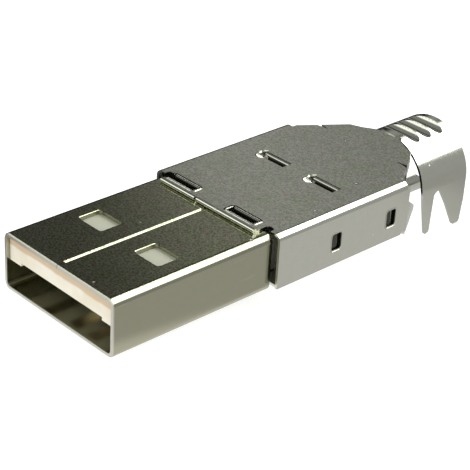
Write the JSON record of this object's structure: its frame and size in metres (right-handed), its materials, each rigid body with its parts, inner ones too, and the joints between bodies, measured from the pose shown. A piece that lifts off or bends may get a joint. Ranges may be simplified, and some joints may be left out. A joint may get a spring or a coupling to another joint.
{
  "type": "cable-mounted serial bus plug",
  "caption": "Rectangular metal-shelled cable plug with a plastic tongue, flat contacts, a folded two-part metal cover and a ribbed crimp saddle with tines at the cable end.",
  "frame": {"origin": "centre of the open mating end of the shell", "axes": "+Y runs from the mating end to the cable end, +Z towards the seam of the shell and the tongue, X across the width"},
  "size_m": [0.0132, 0.0384, 0.008],
  "materials": {
    "plated_shell": "bright plated sheet",
    "plated_cover": "bright plated sheet with fine handling marks",
    "plated_tray": "bright plated sheet",
    "cream_plastic": "matt moulded",
    "gilt_contact": "thin gilt plating"
  },
  "bodies": {
    "root": {"plug_shell": "plated_shell", "insulator": "cream_plastic", "contact_power": "gilt_contact", "contact_data_minus": "gilt_contact", "contact_data_plus": "gilt_contact", "contact_ground": "gilt_contact", "top_cover": "plated_cover", "bottom_cover": "plated_tray"}
  },
  "joints": []
}
